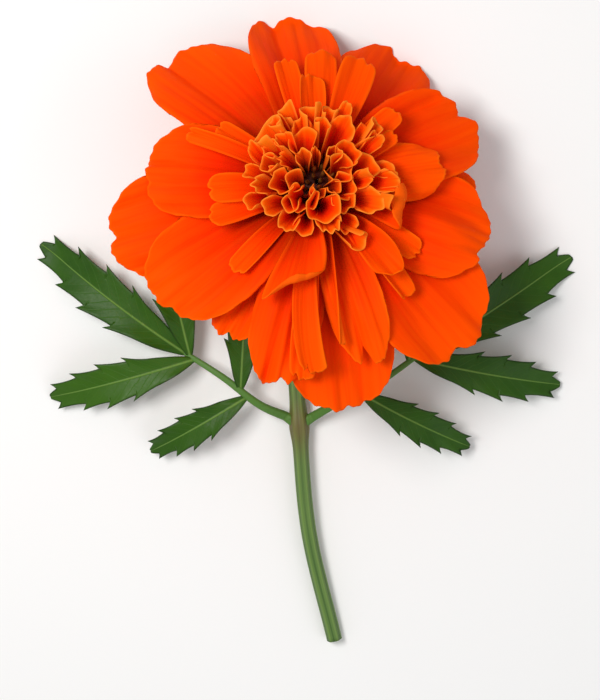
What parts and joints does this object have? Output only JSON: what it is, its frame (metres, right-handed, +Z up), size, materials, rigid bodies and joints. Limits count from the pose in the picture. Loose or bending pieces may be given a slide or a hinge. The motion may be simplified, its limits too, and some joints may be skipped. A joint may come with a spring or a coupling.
{
  "type": "marigold flower",
  "caption": "Picked orange marigold lying on its stem, with broad ruffled outer petals, a crest of small channelled florets, a ribbed green calyx and toothed leaves.",
  "frame": {"origin": "on the surface that the flower lies on, under the middle of its footprint", "axes": "+Z up, out of the flower's face; +Y along the lying stem, from its cut end to the head; +X to the right, seen from the stem's cut end"},
  "size_m": [0.1056, 0.1237, 0.042],
  "materials": {
    "petal": "soft velvety petals, saturated orange with paler orange margins and a dark red-brown middle",
    "calyx": "smooth olive green, ribbed, flushed with brown red",
    "stem": "fresh green, finely ribbed",
    "leaf": "dark green with paler midribs, a little glossy"
  },
  "bodies": {
    "root": {"bloom": "petal", "calyx": "calyx", "stem": "stem", "leaf_left": "leaf", "leaf_right": "leaf"}
  },
  "joints": []
}
